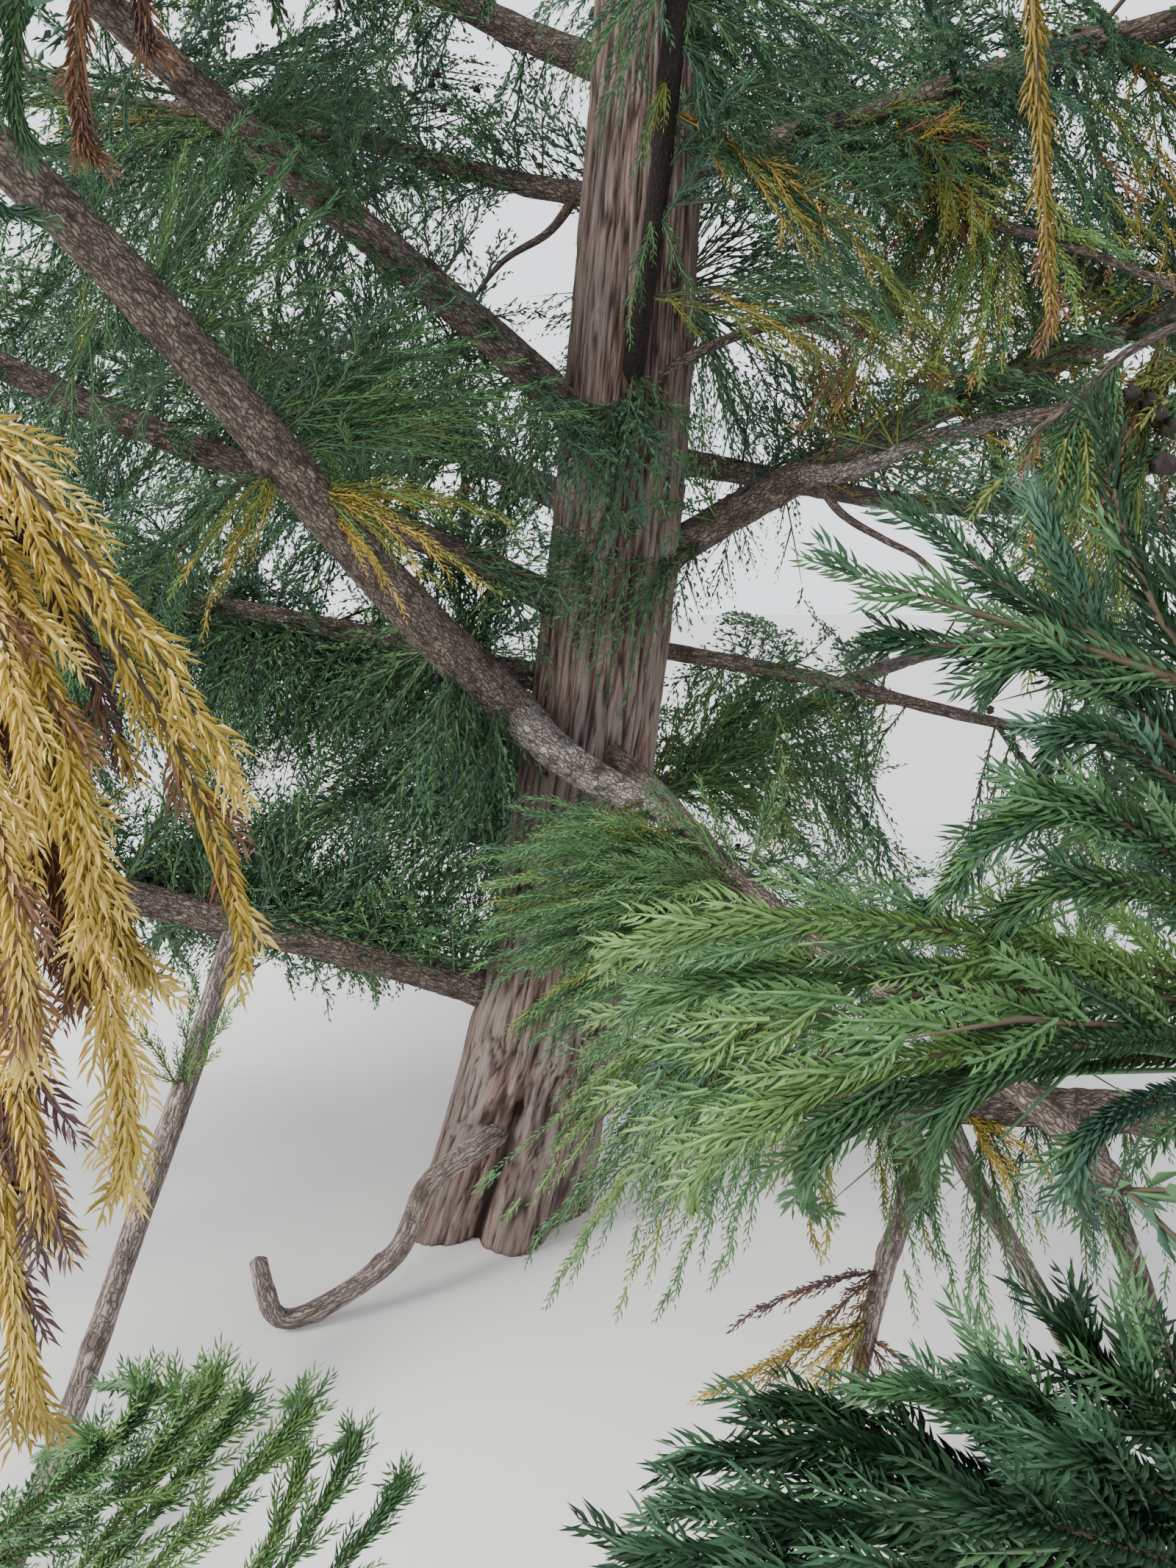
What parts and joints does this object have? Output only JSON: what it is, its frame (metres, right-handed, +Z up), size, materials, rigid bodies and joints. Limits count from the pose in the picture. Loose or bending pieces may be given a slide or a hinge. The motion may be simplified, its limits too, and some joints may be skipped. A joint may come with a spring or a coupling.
{
  "type": "japanese cedar tree",
  "caption": "Whole conifer with a leaning, flared trunk, boughs down to the foot and hanging feathery sprays, open on the side where one can look in.",
  "frame": {"origin": "centre of the flat cut under the trunk, at ground level", "axes": "+Z up; -Y is the open side of the crown, from which the picture looks in; the trunk leans towards +X"},
  "size_m": [6.3903, 5.6439, 11],
  "materials": {
    "trunk_bark": "fibrous red-brown bark in long vertical strips and furrows, matte",
    "bough_bark": "dark grey-brown bark in small flaky plates, matte",
    "dead_wood": "weathered bare grey-tan dead wood, matte",
    "foliage": "feathery sprays of short awl-shaped needles, deep green with ochre and rust dying sprays, satin"
  },
  "bodies": {
    "root": {"back_bough": "bough_bark", "back_foliage": "foliage", "back_left_bough": "bough_bark", "back_left_foliage": "foliage", "behind_right_bough": "bough_bark", "behind_right_foliage": "foliage", "crooked_stub": "dead_wood", "crooked_stub_end": "dead_wood", "front_left_bough": "bough_bark", "front_left_foliage": "foliage", "front_right_bough": "bough_bark", "front_right_foliage": "foliage", "hanging_dead_limb": "dead_wood", "high_back_bough": "bough_bark", "high_back_foliage": "foliage", "low_back_bough": "bough_bark", "low_back_foliage": "foliage", "low_back_right_bough": "bough_bark", "low_back_right_foliage": "foliage", "low_left_bough": "bough_bark", "low_left_foliage": "foliage", "low_right_bough": "bough_bark", "low_right_foliage": "foliage", "mid_left_bough": "bough_bark", "mid_left_foliage": "foliage", "middle_1_bough": "bough_bark", "middle_1_foliage": "foliage", "middle_2_bough": "bough_bark", "middle_2_foliage": "foliage", "middle_3_bough": "bough_bark", "middle_3_foliage": "foliage", "middle_4_bough": "bough_bark", "middle_4_foliage": "foliage", "overhead_bough": "bough_bark", "overhead_foliage": "foliage", "right_bough": "bough_bark", "right_foliage": "foliage", "right_slender_bough": "bough_bark", "right_slender_foliage": "foliage", "small_left_bough": "bough_bark", "small_left_foliage": "foliage", "top_left_bough": "bough_bark", "top_left_foliage": "foliage", "trunk": "trunk_bark", "upper_10_foliage": "foliage", "upper_11_foliage": "foliage", "upper_1_foliage": "foliage", "upper_2_foliage": "foliage", "upper_3_foliage": "foliage", "upper_4_foliage": "foliage", "upper_5_foliage": "foliage", "upper_6_foliage": "foliage", "upper_7_foliage": "foliage", "upper_8_foliage": "foliage", "upper_9_foliage": "foliage", "upper_left_bough": "bough_bark", "upper_left_foliage": "foliage", "upper_right_bough": "bough_bark", "upper_right_foliage": "foliage"}
  },
  "joints": []
}
